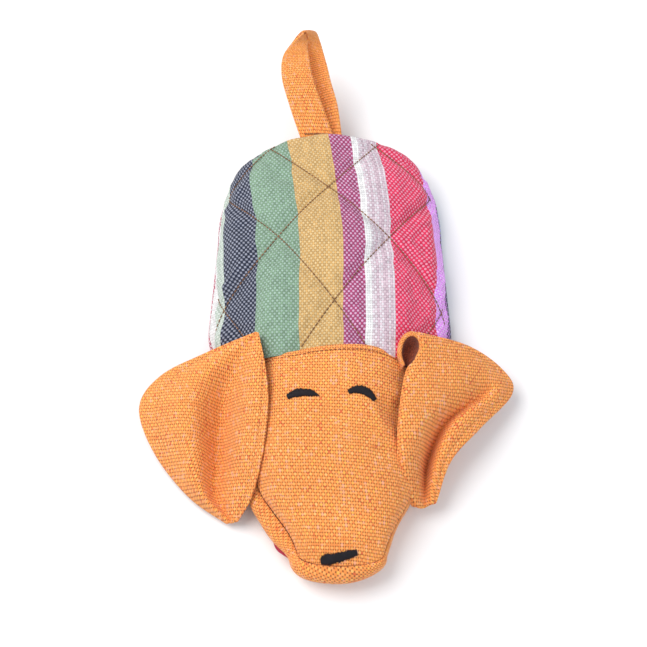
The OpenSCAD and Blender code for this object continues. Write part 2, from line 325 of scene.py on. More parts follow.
# Middle lines of the embroidery in plan, and its widths along them
FACE_LINES = {
    "left_eye": [(-21.8, -93.4), (-18.6, -92.0), (-14.4, -91.6), (-10.0, -92.2), (-6.0, -93.6)],
    "right_eye": [(9.6, -91.6), (13.4, -90.2), (17.0, -90.4), (20.2, -92.0), (22.8, -94.8)],
    "nose": [(-4.5, -175.0), (4.0, -173.4), (13.3, -171.0)],
}
FACE_WIDTHS = {
    "left_eye": (3.2, 4.6, 5.0, 4.0, 0.8),
    "right_eye": (3.0, 4.6, 5.0, 4.8, 2.6),
    "nose": (4.6, 6.4, 5.8, 5.2, 4.9, 4.6, 3.4),
}


def near_embroidery(place):
    """True where the stitches of an eye or the nose hold the cloth down."""
    return any((place.xy - spline(line, i / 12)).length < 5
               for line in FACE_LINES.values() for i in range(13))


def seam_at(t):
    """Place on the seam round the head, t from the left of the neck round the snout to the right."""
    corner = 0.4
    if t < corner:
        return head_at(0, t / corner)
    if t > 1 - corner:
        return head_at(1, (1 - t) / corner)
    return head_at((t - corner) / (1 - 2 * corner), 1)


def seam_out(t):
    """Direction in plan that points away from the head at the seam."""
    step = 0.03
    along = seam_at(clamp(t + step)) - seam_at(clamp(t - step))
    return Vector((-along.y, along.x, 0)).normalized() * -1


# How far the lip bulges out of the seam, from the left of the neck round to the right
LIP_BULGE = [1.5, 1.6, 2.0, 3.0, 5.0, 7.8, 9.0, 8.0, 5.6, 7.4, 8.1, 4.6, 2.4, 1.2, 0.9] + [0.8] * 6
LIP_LOW = 5.6  # height of the lip's lower edge


def lip_at(u, v):
    """Padded lip: a roll of cloth that hangs from the seam and turns in over the mouth."""
    seam, out = seam_at(u), seam_out(u)
    bulge = spline(LIP_BULGE, u)
    turn = mix(1.0, -1.5, v) * math.pi / 2
    middle, tall = (seam.z + LIP_LOW) / 2, (seam.z - LIP_LOW) / 2
    reach = bulge * max(math.cos(turn), 0) ** 0.8 + 3.2 * min(math.cos(turn), 0)
    wave = 0.35 * math.sin(u * 61) * math.sin(math.pi * v)
    place = seam + out * (reach + wave)
    place.z = middle + tall * math.sin(turn)
    return place


def mouth_sheet(left_in, z, dip, peep=0.0):
    """A sheet that fills the mouth's outline at a height, and may peep out at the snout's left corner."""
    def place(u, v):
        left, right = seam_at(0.5 * v), seam_at(1 - 0.5 * v)
        left = left + seam_out(0.5 * v) * (left_in + peep * bump_at(v, 0.70, 0.14))
        right = right - seam_out(1 - 0.5 * v) * 3
        flat = left.lerp(right, u)
        flat.z = z - dip * math.sin(math.pi * u)
        return flat
    return place


JAW_ROUND = 0.16  # share of the jaw's cloth that turns up round its edge
JAW_IN = 3.2  # how far the jaw lies inside the seam


def jaw_at(u, v):
    """Lower jaw: a pad that is flat underneath and whose sides turn up behind the lip."""
    share = 0.5 * clamp(v / (1 - JAW_ROUND / 2)) * 0.985
    left = seam_at(share) - seam_out(share) * JAW_IN
    right = seam_at(1 - share) - seam_out(1 - share) * JAW_IN
    across = (2 * u - 1) / (1 - JAW_ROUND)
    side = clamp((abs(across) - 1) / JAW_ROUND * (1 - JAW_ROUND))
    end = clamp((v - (1 - JAW_ROUND / 2)) / (JAW_ROUND / 2))
    rise = max(side, end)
    place = left.lerp(right, (clamp(across, -1, 1) + 1) / 2)
    bulge = 2.2 * math.sin(math.pi * rise * 0.8)
    place.x += math.copysign(bulge, across) * (side > 0)
    place.y -= bulge * (end > 0)
    place.z = 11.0 * rise ** 1.5
    return place


def plain_flat(width, length, turn=0.0):
    """Flat places of a plain rectangle of cloth, turned against its threads."""
    cos, sin = math.cos(turn), math.sin(turn)

    def flat(u, v):
        x, y = u * width, v * length
        return Vector((x * cos - y * sin, x * sin + y * cos))
    return flat


# ---- ear shapes ----

# Lines that run from each ear's sewn root to its tip, from the edge beside the head outwards:
# edge, mound, valley, hump and far edge
LEFT_LINES = [
    [(-37.5, -58.3, 41.5), (-33.6, -77, 41), (-32, -96, 39.5), (-33.6, -114, 35), (-37.0, -130, 27),
     (-41.5, -142.3, 18), (-48.5, -151.3, 8)],
    [(-37.7, -58.2, 41.6), (-39, -75, 40), (-43, -92, 34.5), (-46, -109, 28.5), (-49, -125.5, 20),
     (-51.5, -140, 13), (-50.2, -151.5, 7)],
    [(-37.9, -58.1, 41.5), (-47, -71, 34), (-55, -85, 21.5), (-58.5, -102, 11), (-60.3, -119, 6),
     (-61, -137, 5), (-51.5, -151.7, 6)],
    [(-38.2, -58.0, 41.6), (-55, -68, 35.5), (-69, -81, 30), (-74, -98, 26), (-72.5, -117, 21),
     (-67, -138, 13.5), (-53, -151.8, 6.5)],
    [(-38.5, -57.8, 41.5), (-66, -65.7, 30), (-91, -74.3, 17), (-102.6, -89.7, 9.5), (-94, -113.5, 5.5),
     (-75, -137, 4.5), (-54, -151.8, 5)],
]
# Edge, crest of the edge, slope, valley, crest of the rim and far edge
RIGHT_LINES = [
    [(44.8, -73.5, 40), (39.6, -78.5, 39), (36.6, -93, 38), (35.0, -107, 35.5), (34.7, -121, 30.5),
     (36.6, -134.5, 22.5), (43, -144.3, 13)],
    [(46.2, -70.5, 41.6), (43.4, -77, 41), (40.6, -91, 40.4), (39.0, -105, 38.2), (38.6, -119, 33.5),
     (40, -132.5, 25), (45, -144.9, 13.5)],
    [(47.6, -67, 42.6), (51, -73.5, 40), (55, -84, 37), (56.5, -93.5, 33.5), (47.5, -108.5, 32.5),
     (45.5, -126, 21.5), (47, -145.2, 12)],
    [(47.8, -63.6, 43.2), (60, -69, 36), (73, -78, 29), (78.5, -85.5, 19.5), (60.5, -101, 17),
     (51.6, -121, 8.5), (49.5, -144.6, 10.5)],
    [(46.8, -60.6, 43.6), (67, -65, 33), (84, -73.5, 22), (89.5, -82.5, 18.5), (67, -102.5, 25),
     (56.2, -121, 21), (52.3, -143.6, 12.5)],
    [(44.8, -58.6, 43.4), (73, -60.8, 28), (92.5, -69.5, 14.5), (98, -82, 11), (79.5, -103.5, 18.5),
     (63.6, -121.5, 20), (55.5, -142.5, 12)],
]
HEM_IN = 0.085  # share of an ear's width from its edge to its stitch line
EAR_STEPS = 56  # faces across an ear


def ear_at(lines, u, v):
    """Place on an ear, u outwards from the head and v from root to tip, with a sunken stitch line."""
    place = spline([spline(line, v) for line in lines], u)
    middle = math.sin(math.pi * u) * math.sin(math.pi * v)
    place.z += 0.45 * math.sin(place.x * 0.31 + place.y * 0.24) * middle
    place.z -= 0.55 * (bump_at(u, HEM_IN, 0.022) + bump_at(u, 1 - HEM_IN, 0.022)) * smooth(v / 0.1)
    place.z = max(place.z, 3.0)
    return place


def slope_lengths(place, v):
    """Extra cloth length, over its length in plan, from the inner edge to each step across."""
    extra, before = [0.0], place(0, v)
    for i in range(1, EAR_STEPS + 1):
        after = place(i / EAR_STEPS, v)
        step = after - before
        extra.append(extra[-1] + step.length - step.xy.length)
        before = after
    return extra


# The root of the right ear curls over: its rim runs up from the head, over, and down to the ear
CURL_RIM = [(38.8, -75.5, 38.5), (36.8, -69.5, 38.8), (37.4, -63.8, 40.4), (39.8, -60.4, 42.6),
            (43.2, -59.6, 44), (46.6, -61.8, 43.4), (47.4, -66.8, 42.4), (45, -72.5, 41.2), (41.8, -78.5, 40)]
# Across the curl: distance outwards from the rim and height over it
CURL_ACROSS = [(2.0, -9), (2.2, -3.5), (1.4, -0.7), (0, 0.2),
               (-1.2, -0.7), (-1.7, -3), (-2.0, -6), (-2.6, -8)]
CURL_HEART = Vector((42.2, -65.2, 34.5))
CURL_INSIDE = 0.6  # share across from which the curl's inside, which lies in shade, is painted with a dark red-brown linen


def curl_at(u, v):
    """Place on the curl, u along its rim and v from its outside over the rim into the hollow."""
    rim = spline(CURL_RIM, u)
    low_end = abs(2 * u - 1) ** 2
    heart = CURL_HEART + Vector((-2, -9.5, -0.5)) * low_end
    out = (rim.xy - heart.xy).normalized()
    away, up = spline(CURL_ACROSS, v)
    away *= 1 - 0.45 * low_end
    place = Vector((rim.x + out.x * away, rim.y + out.y * away, rim.z + up))
    return place.lerp(heart, smooth((v - 0.7) / 0.3))


def ear_root(out):
    """Two points in metres at an ear's root: where its cloth leaves the head and where it lies wholly on the
    ear.
    """
    return (out * 0.034, -0.066, 0.040), (out * 0.046, -0.086, 0.040)


# ---- tail loop ----

# Edges of the strap: up the front leg, over the slanted bend and down the back leg
LOOP_LEFT = [(-16, 64, 20), (-23, 83, 28), (-27, 96.5, 34), (-26.5, 107.5, 38), (-21, 114.5, 42),
             (-14.5, 120, 44), (-12.5, 117.5, 36), (-13, 110, 27), (-11, 98, 21), (-8, 84, 16), (-5, 64, 15)]
LOOP_RIGHT = [(3.5, 64, 20), (-4, 82, 29), (-9.5, 97, 35), (-11.5, 108, 38), (-12.5, 116, 37.5),
              (-9, 125, 35), (-5.5, 119.5, 33.5), (-2.5, 110.5, 31), (0.5, 98.5, 27.5),
              (4.5, 84.5, 23), (7.5, 64, 18)]
STRAP_W, STRAP_L = 17, 128  # width and length of the strap laid flat
STRAP_WEAVE = 1.35  # how much closer the strap's threads lie
TACK_STITCHES = 16


def loop_at(u, v):
    """Place on the strap, u from its left edge to its right and v along the loop."""
    place = spline(LOOP_LEFT, v).lerp(spline(LOOP_RIGHT, v), u)
    place.z += 0.5 * math.sin(math.pi * u) + 0.25 * math.sin(v * 40) * math.sin(math.pi * u)
    return place


# ---- making meshes ----


def make_object(name, work, material):
    """Turns a bmesh in millimetres into an object in metres."""
    bmesh.ops.scale(work, vec=(MM, MM, MM), verts=work.verts)
    mesh = bpy.data.meshes.new(name)
    work.to_mesh(mesh)
    work.free()
    mesh.materials.append(material)
    mesh.shade_smooth()
    made = bpy.data.objects.new(name, mesh)
    bpy.context.scene.collection.objects.link(made)
    return made


def make_piece(name, work, material):
    """Turns a bmesh in millimetres into a piece in the frame."""
    piece = make_object(name, work, material)
    return piece


def cloth_grid(work, across, along, place, flat, under=False):
    """Adds a cloth surface whose flat place in the weave is kept in its own map."""
    weave = work.loops.layers.uv.get("cloth") or work.loops.layers.uv.new("cloth")
    made = bmesh.ops.create_grid(work, x_segments=across, y_segments=along, size=0.5)["verts"]
    shares = {vert: (vert.co.x + 0.5, vert.co.y + 0.5) for vert in made}
    faces = {face for vert in made for face in vert.link_faces}
    for face in faces:
        for loop in face.loops:
            loop[weave].uv = flat(*shares[loop.vert]) * MM
    for vert, (u, v) in shares.items():
        vert.co = place(u, v)
    if under:
        bmesh.ops.reverse_faces(work, faces=list(faces))


def cloth_piece(name, material, across, along, place, flat, under=False):
    """Makes one cloth surface as a piece, with so many faces across and along."""
    work = bmesh.new()
    cloth_grid(work, across, along, place, flat, under)
    return make_piece(name, work, material)


def thicken(piece, thickness, offset=-1.0):
    """Gives a cloth its thickness and rounds its edges; the modifiers stay live."""
    solid = piece.modifiers.new("Thickness", "SOLIDIFY")
    solid.thickness = thickness * MM
    solid.offset = offset
    soft = piece.modifiers.new("Soft edges", "SUBSURF")
    soft.levels = 1
    soft.render_levels = 1


def strand(work, start, end, up, radius, rise=0.0, sides=6, rings=5):
    """Adds one stitch of thread: a thin arched roll between two points, closed at both ends."""
    made = bmesh.ops.create_grid(work, x_segments=sides, y_segments=rings, size=0.5)["verts"]
    start, end, up = Vector(start), Vector(end), Vector(up).normalized()
    side = (end - start).cross(up).normalized()
    for vert in made:
        turn = (vert.co.x + 0.5) * math.tau
        t = vert.co.y + 0.5
        round_off = max(0.0, 1 - abs(2 * t - 1) ** 3) ** 0.5
        ring = (side * math.cos(turn) + up * math.sin(turn)) * radius * round_off
        vert.co = start.lerp(end, t) + up * rise * math.sin(math.pi * t) + ring


def finish_strands(name, work, material):
    """Closes the rolls of thread and makes them one piece."""
    bmesh.ops.remove_doubles(work, verts=work.verts, dist=0.002)
    bmesh.ops.recalc_face_normals(work, faces=work.faces)
    return make_piece(name, work, material)


# The simulated cloth: how its points are held, how heavy it is and how it resists
SWELL_CLOTH = {
    "vertex_group_mass": "held", "quality": 4, "mass": 0.15, "tension_stiffness": 12,
    "compression_stiffness": 12, "shear_stiffness": 4, "bending_stiffness": 0.2, "use_pressure": True,
}


def swell(piece, is_held, pressure, surplus, cap, frames=16):
    """Puffs a cloth up by simulation and keeps the result in the mesh.

    Its rim and the places that is_held names stay put, the cloth has a small surplus,
    and no point moves further than cap.
    """
    mesh = piece.data
    start = [vert.co.copy() for vert in mesh.vertices]
    held = piece.vertex_groups.new(name="held")
    held.add([vert.index for vert in mesh.vertices if is_held(vert.co / MM)], 1.0, "REPLACE")
    edge_counts = {}
    for face in mesh.polygons:
        for key in face.edge_keys:
            edge_counts[key] = edge_counts.get(key, 0) + 1
    rim = {i for key, count in edge_counts.items() if count == 1 for i in key}
    held.add(list(rim), 1.0, "REPLACE")
    sim = piece.modifiers.new("Swell", "CLOTH")
    for key, value in SWELL_CLOTH.items():
        setattr(sim.settings, key, value)
    sim.settings.uniform_pressure_force = pressure
    sim.settings.shrink_min = -surplus
    sim.settings.effector_weights.gravity = 0
    sim.collision_settings.use_collision = False
    scene = bpy.context.scene
    sim.point_cache.frame_start = 1
    sim.point_cache.frame_end = frames
    for number in range(1, frames + 1):
        scene.frame_set(number)
    puffed = piece.evaluated_get(bpy.context.evaluated_depsgraph_get()).data
    moved = [vert.co.copy() for vert in puffed.vertices]
    piece.modifiers.remove(sim)
    piece.vertex_groups.remove(held)
    scene.frame_set(1)
    for vert, old, new in zip(mesh.vertices, start, moved):
        step = new - old
        if step.length > cap * MM:
            step *= cap * MM / step.length
        vert.co = old + step
    mesh.update()


# ---- shaders ----


class Value:
    """A socket that takes part in sums; each sum adds its Math node."""

    def __init__(self, shader, socket):
        self.shader = shader
        self.socket = socket

    def __add__(self, other):
        return self.shader.maths("ADD", self, other)

    def __sub__(self, other):
        return self.shader.maths("SUBTRACT", self, other)

    def __rsub__(self, other):
        return self.shader.maths("SUBTRACT", other, self)

    def __mul__(self, other):
        return self.shader.maths("MULTIPLY", self, other)

    def __truediv__(self, other):
        return self.shader.maths("DIVIDE", self, other)

    def __pow__(self, other):
        return self.shader.maths("POWER", self, other)

    __radd__ = __add__
    __rmul__ = __mul__


class Shader:
    """Builds one material's nodes."""

    def __init__(self, name, roughness=0.85, sheen=0.0, specular=0.25):
        self.material = bpy.data.materials.new(name)
        self.material.use_nodes = True
        self.tree = self.material.node_tree
        self.surface = self.tree.nodes["Principled BSDF"]
        self.surface.inputs["Roughness"].default_value = roughness
        self.surface.inputs["Specular IOR Level"].default_value = specular
        self.surface.inputs["Sheen Weight"].default_value = sheen
        self.surface.inputs["Sheen Roughness"].default_value = 0.6

    def put(self, socket, item):
        if isinstance(item, Value):
            self.tree.links.new(item.socket, socket)
        else:
            socket.default_value = item

    def node(self, kind, settings=(), inputs=(), output=0):
        """Adds a node, sets it up, fills its sockets, and gives one of its outputs."""
        made = self.tree.nodes.new(kind)
        for key, value in dict(settings).items():
            setattr(made, key, value)
        for key, item in dict(inputs).items():
            self.put(made.inputs[key], item)
        return Value(self, made.outputs[output])

    def maths(self, operation, *items):
        return self.node("ShaderNodeMath", {"operation": operation}, enumerate(items))

    def parts(self, vector):
        split = self.tree.nodes.new("ShaderNodeSeparateXYZ")
        self.put(split.inputs[0], vector)
        return [Value(self, output) for output in split.outputs]

    def vector(self, x, y, z=0.0):
        return self.node("ShaderNodeCombineXYZ", (), {0: x, 1: y, 2: z})

    def blend(self, factor, a, b, mode="MIX"):
        """Mixes two colours."""
        return self.node("ShaderNodeMix", {"data_type": "RGBA", "blend_type": mode},
                         {0: factor, 6: a, 7: b}, output=2)

    def between(self, value, low, high):
        """Smooth step from 0 at low to 1 at high."""
        return self.node("ShaderNodeMapRange", {"interpolation_type": "SMOOTHSTEP"},
                         {0: value, 1: low, 2: high})

    def random(self, number):
        """A steady random value for each whole number."""
        return self.node("ShaderNodeTexWhiteNoise", {"noise_dimensions": "1D"}, {"W": number})

    def noise(self, vector, scale, detail=2.0):
        return self.node("ShaderNodeTexNoise", (), {"Vector": vector, "Scale": scale, "Detail": detail})

    def ramp(self, value, stops, interpolation="LINEAR"):
        """Colour ramp with its stops as (place, colour)."""
        made = self.tree.nodes.new("ShaderNodeValToRGB")
        made.color_ramp.interpolation = interpolation
        elements = made.color_ramp.elements
        elements.remove(elements[-1])
        elements[0].position, elements[0].color = stops[0]
        for place, colour in stops[1:]:
            elements.new(place).color = colour
        self.put(made.inputs[0], value)
        return Value(self, made.outputs[0])

    def bump(self, height, strength, distance):
        return self.node("ShaderNodeBump", (), {"Height": height, "Strength": strength, "Distance": distance})

    def finish(self, colour=None, normal=None, roughness=None):
        for name, item in (("Base Color", colour), ("Normal", normal), ("Roughness", roughness)):
            if item is not None:
                self.put(self.surface.inputs[name], item)
        return self.material


def shade(colour, factor):
    """A colour made darker or lighter, with its alpha."""
    return tuple(min(1.0, c * factor) for c in colour[:3]) + (1.0,)


def woven(name, pitch, gap_shade_colour, warp_colour, weft_colour, uneven, gap_shade_strength, roughness=0.85,
          sheen=0.12, bump=0.5):
    """Plain weave seen thread by thread, with painted shade in the holes between threads and on their low
    sides; each colour is a function of shader, thread's place and tone.
    """
    shader = Shader(name, roughness, sheen)
    flat = shader.node("ShaderNodeUVMap", {"uv_map": "cloth"})
    # the threads wander a little, and each has its number and a place within it
    u, v, _ = shader.parts(flat)
    u = u + (shader.noise(flat, 90.0, 1.0) - 0.5) * (0.0009 * uneven)
    v = v + (shader.noise(flat, 70.0, 1.0) - 0.5) * (0.0012 * uneven)
    across, along = u / (pitch[0] * MM), v / (pitch[1] * MM)
    warp_id, weft_id = shader.maths("FLOOR", across), shader.maths("FLOOR", along)
    fine_u, fine_v = across - warp_id, along - weft_id
    # over and under: which thread is on top, how high it stands and where the gaps are
    warp_top = shader.maths("FLOORED_MODULO", warp_id + weft_id, 2.0)
    warp_round = 1 - shader.maths("ABSOLUTE", 2 * fine_u - 1) ** 2.0
    weft_round = 1 - shader.maths("ABSOLUTE", 2 * fine_v - 1) ** 2.0
    warp_height = warp_round ** 0.5 * (0.8 + 0.2 * weft_round)
    weft_height = weft_round ** 0.35 * (0.8 + 0.2 * warp_round)
    height = warp_height * warp_top + weft_height * (1 - warp_top)
    hole = shader.between((1 - warp_round) * (1 - weft_round), 0.05, 0.35)
    hole = hole * (0.35 + 0.65 * shader.noise(shader.vector(across * 0.37, along * 0.37), 1.0, 1.0))
    # thick and thin places along each thread choose its tone
    warp_tone = shader.random(warp_id + 0.5)
    weft_tone = shader.random(weft_id + 77.5)
    slub = shader.noise(shader.vector(warp_id * 7.3, v * 260.0), 1.0, 2.0)
    slub_across = shader.noise(shader.vector(u * 260.0, weft_id * 5.1), 1.0, 2.0)
    warp_mix = (warp_tone - 0.5) * 0.3 + shader.between(slub, 0.2, 0.8)
    weft_mix = (weft_tone - 0.5) * 0.2 + shader.between(slub_across, 0.2, 0.8)
    thread_place = (warp_id + 0.5) * (pitch[0] * MM)
    warp_shade = warp_colour(shader, thread_place, warp_mix)
    weft_shade = weft_colour(shader, thread_place, weft_mix)
    dot = (1 - warp_top) * shader.between(weft_round, 0.15, 0.6) * shader.between(warp_round, 0.0, 0.4)
    colour = shader.blend(dot, warp_shade, weft_shade)
    # painted shade: the threads' low sides and the holes between them are darkened towards the gap's shade
    # colour
    thread_top_unshaded = shader.between(height, 0.15, 0.75)
    colour = shader.blend((1 - thread_top_unshaded) * (gap_shade_strength * 0.3), colour, gap_shade_colour)
    colour = shader.blend(hole * gap_shade_strength, colour, gap_shade_colour)
    wear = shader.between(shader.noise(flat, 22.0, 3.0), 0.3, 0.7)
    worn = shader.blend(wear, (0.93, 0.93, 0.93, 1), (1, 1, 1, 1))
    colour = shader.blend(1.0, colour, worn, "MULTIPLY")
    fibres = shader.noise(flat, 2600.0, 2.0)
    normal = shader.bump(height + fibres * 0.25 + slub * 0.2, bump, 0.0005)
    rough = shader.between(height, 0.0, 1.0) * -0.1 + (roughness + 0.08)
    return shader.finish(colour, normal, rough)


def linen_colours(base, light, dark, fleck):
    """Thread colours of a mottled linen: dark, base, light and an odd fleck, by tone."""
    def colours(shader, place, tone):
        return shader.ramp(tone, [(0.0, dark), (0.3, base), (0.55, base), (0.72, light), (0.9, fleck)])
    return colours


def toned_colours(base, light, dark, fleck):
    """Thread colours that are all lighter and darker tones of one colour."""
    return linen_colours(base, shade(base, light), shade(base, dark), shade(base, fleck))


def stripe_colours(stripes, low, which, spread):
    """Colour by place in the stripes; which picks the thread's colour or the colour of its dots."""
    total = sum(width for width, _, _ in stripes)

    def colours(shader, place, tone):
        stops, reached = [], 0.0
        for stripe in stripes:
            stops.append((reached / total, stripe[which] + (1.0,)))
            reached += stripe[0]
        base = shader.ramp((place - low * MM) / (total * MM), stops, "CONSTANT")
        lift = shader.ramp(tone, [(0.2, (1 - spread,) * 3 + (1,)), (0.8, (1 + spread,) * 3 + (1,))])
        return shader.blend(1.0, base, lift, "MULTIPLY")
    return colours


# Stripes of the back from left to right: width, thread colour, colour of the dots where the weft shows
CRIMSON, WHITE, MINT = (0.42, 0.04, 0.09), (0.78, 0.78, 0.78), (0.46, 0.55, 0.47)
NAVY, GREEN, TAN = (0.012, 0.018, 0.042), (0.19, 0.31, 0.20), (0.58, 0.35, 0.12)
MAGENTA, ROSE, RED = (0.34, 0.045, 0.14), (0.55, 0.41, 0.48), (0.72, 0.020, 0.085)
VIOLET, BLUE, PALE = (0.82, 0.30, 0.95), (0.26, 0.40, 0.70), (0.70, 0.68, 0.72)
LIGHT_ROSE = (0.66, 0.54, 0.60)
BACK_STRIPES = [
    (8.0, CRIMSON, PALE), (8.0, WHITE, WHITE), (7.5, MINT, (0.62, 0.68, 0.64)),
    (19.0, NAVY, (0.27, 0.29, 0.36)), (23.2, GREEN, (0.32, 0.45, 0.38)), (23.0, TAN, (0.66, 0.49, 0.25)),
    (11.3, MAGENTA, (0.60, 0.36, 0.53)), (4.3, WHITE, WHITE),
    *[(2.34, LIGHT_ROSE, PALE), (1.17, ROSE, LIGHT_ROSE)] * 3, (1.2, LIGHT_ROSE, PALE),
    (24.0, RED, (0.82, 0.28, 0.40)), (13.5, VIOLET, (0.86, 0.58, 0.96)), (4.0, NAVY, VIOLET),
    (8.0, BLUE, PALE),
]
BACK_STRIPES_LOW = -82.0
BELLY_STRIPES = [
    (16.0, CRIMSON, PALE), (22.0, TAN, PALE), (14.0, WHITE, WHITE), (26.0, GREEN, (0.48, 0.58, 0.50)),
    (20.0, RED, (0.80, 0.42, 0.52)), (12.0, ROSE, PALE), (24.0, MAGENTA, PALE), (10.0, BLUE, PALE),
    (12.0, NAVY, (0.42, 0.40, 0.62)),
]
BELLY_STRIPES_LOW = -78.0
# Distance from thread to thread across and along each cloth
STRIPE_PITCH = (1.17, 1.44)
LINEN_PITCH = (1.3, 1.6)
MOUTH_PITCH = (0.8, 0.8)
LINING_PITCH = (0.7, 0.7)
# Painted shade colours for the holes between threads and the threads' low sides, one for each cloth
LINEN_GAP_SHADE, PAINTED_SHADE_GAP, STRIPE_GAP_SHADE = (0.13, 0.016, 0.006, 1), (0.03, 0.004, 0.002, 1), (0.05, 0.04, 0.05, 1)


def thread_material(name, colour, sheen, roughness):
    """Twisted thread: fine slanted ridges along each stitch and a slow change of tone."""
    shader = Shader(name, roughness, sheen, 0.35)
    place = shader.node("ShaderNodeTexCoord", output=3)
    twist = shader.node("ShaderNodeTexWave", {"bands_direction": "DIAGONAL"},
                        {"Vector": place, "Scale": 900.0, "Distortion": 2.0, "Detail": 1.0})
    tone = shader.noise(place, 240.0, 2.0)
    tinted = shader.blend(shader.between(tone, 0.3, 0.7), shade(colour, 0.72), shade(colour, 1.3))
    tinted = shader.blend(twist * 0.3, tinted, shade(colour, 0.45))
    return shader.finish(tinted, shader.bump(twist, 0.5, 0.0002), roughness + tone * 0.1)


def materials(colours):
    """Makes every material once and gives them by name."""
    kept = bpy.data.materials
    if "orange_linen" in kept:
        return kept
    orange, mouth, lining = tuple(colours.linen), tuple(colours.mouth), tuple(colours.lining)
    woven("orange_linen", LINEN_PITCH, LINEN_GAP_SHADE,
          linen_colours(orange, shade(orange, 1.15), (0.74, 0.15, 0.05, 1), (0.95, 0.42, 0.24, 1)),
          linen_colours(colours.linen_weft, (0.95, 0.46, 0.08, 1), (0.84, 0.26, 0.06, 1),
                        (0.97, 0.52, 0.18, 1)), 1.0, 1.0)
    # painted shade: a dark red-brown linen that stands in for the shade inside the right ear's curl
    painted_shade = (0.20, 0.035, 0.012, 1)
    woven("painted_shade_linen", LINEN_PITCH, PAINTED_SHADE_GAP,
          toned_colours(painted_shade, 1.3, 0.6, 1.6), toned_colours(painted_shade, 1.5, 0.7, 1.8), 1.0, 1.0)
    for name, stripes, low in (("striped_weave", BACK_STRIPES, BACK_STRIPES_LOW),
                               ("belly_weave", BELLY_STRIPES, BELLY_STRIPES_LOW)):
        woven(name, STRIPE_PITCH, STRIPE_GAP_SHADE, stripe_colours(stripes, low, 1, 0.16),
              stripe_colours(stripes, low, 2, 0.10), 0.7, 0.35)
    # the mouth and the lining take darker copies of their own colour as painted shade in their gaps
    woven("mouth_weave", MOUTH_PITCH, shade(mouth, 0.3),
          toned_colours(mouth, 1.2, 0.7, 1.35), toned_colours(mouth, 1.2, 0.75, 1.3), 0.6, 0.5)
    woven("lining_weave", LINING_PITCH, shade(lining, 0.45),
          toned_colours(lining, 1.05, 0.9, 1.1), toned_colours(lining, 1.05, 0.92, 1.1), 0.5, 0.4)
    thread_material("tan_strand", (0.26, 0.115, 0.045), 0.1, 0.6)
    thread_material("brown_strand", (0.36, 0.10, 0.022), 0.1, 0.65)
    thread_material("satin_strand", (0.008, 0.006, 0.010), 0.0, 0.6)
    return kept


# ---- settings ----


def cloth_colour(name, description, colour):
    return FloatVectorProperty(name=name, description=description, subtype="COLOR", size=4, default=colour)


class PuppetSizes(bpy.types.PropertyGroup):
    cloth_thickness: FloatProperty(name="Cloth thickness", description="Thickness of the woven cloth",
                                   default=1.1, min=0.6, max=1.6)
    stitch_length: FloatProperty(name="Stitch length", description="Length of one quilting stitch",
                                 default=2.3, min=1.5, max=4.0)
    eye_strands: IntProperty(name="Eye strands", description="Strands of satin stitch in an eye",
                             default=30, min=12, max=48)
    nose_strands: IntProperty(name="Nose strands", description="Strands of satin stitch in the nose",
                              default=34, min=12, max=48)


class PuppetColours(bpy.types.PropertyGroup):
    linen: cloth_colour("Linen", "Colour of the head, ears and tail loop", (0.90, 0.295, 0.068, 1))
    linen_weft: cloth_colour("Linen weft", "Colour of the linen's cross threads", (0.97, 0.42, 0.12, 1))
    mouth: cloth_colour("Mouth", "Colour of the mouth's cloth", (0.42, 0.035, 0.07, 1))
    lining: cloth_colour("Lining", "Colour of the lining", (0.72, 0.64, 0.50, 1))


def settings(context):
    """The scene's puppet sizes and its materials."""
    return context.scene.puppet_sizes, materials(context.scene.puppet_colours)


# ---- operators ----


class PUPPET_OT_back(bpy.types.Operator):
    """Makes the quilted striped back and its lining"""

    bl_idname = "puppet.back"
    bl_label = "Back"

    def execute(self, context):
        sizes, kept = settings(context)
        cover = cloth_piece("back_cover", kept["striped_weave"], 100, 118,
                            back_cover_at, back_cover_flat)
        swell(cover, lambda co: quilt_distance(*back_flat(co)) < 1.1, 1.6, 0.02, 1.6)
        thicken(cover, sizes.cloth_thickness)
        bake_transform(cover)
        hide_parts("back_panel", "back_wadding")
        lining = cloth_piece("back_lining_cloth", kept["lining_weave"], 40, 44,
                             lambda u, v: back_shell((2 * u - 1) * 0.99, v * 0.995, PAD_T + 0.6),
                             plain_flat(150, 130), under=True)
        thicken(lining, 0.7)
        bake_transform(lining)
        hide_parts("back_lining")
        return {"FINISHED"}


class PUPPET_OT_belly(bpy.types.Operator):
    """Makes the belly pad and its lining"""

    bl_idname = "puppet.belly"
    bl_label = "Belly"

    def execute(self, context):
        sizes, kept = settings(context)
        cover = cloth_piece("belly_cover", kept["belly_weave"], 56, 60,
                            belly_at, belly_flat, under=True)
        thicken(cover, sizes.cloth_thickness)
        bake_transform(cover)
        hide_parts("belly_panel", "belly_wadding")

        def lining_at(u, v):
            y = mix(NECK_Y - 2, REAR_Y - 4, v)
            half = body_half(y) - 3
            return Vector((half * (2 * u - 1), y, 6.9 - 0.5 * math.sin(math.pi * u)))
        lining = cloth_piece("belly_lining_cloth", kept["lining_weave"], 36, 40,
                             lining_at, plain_flat(120, 126))
        thicken(lining, 0.7)
        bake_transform(lining)
        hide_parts("belly_lining")
        return {"FINISHED"}


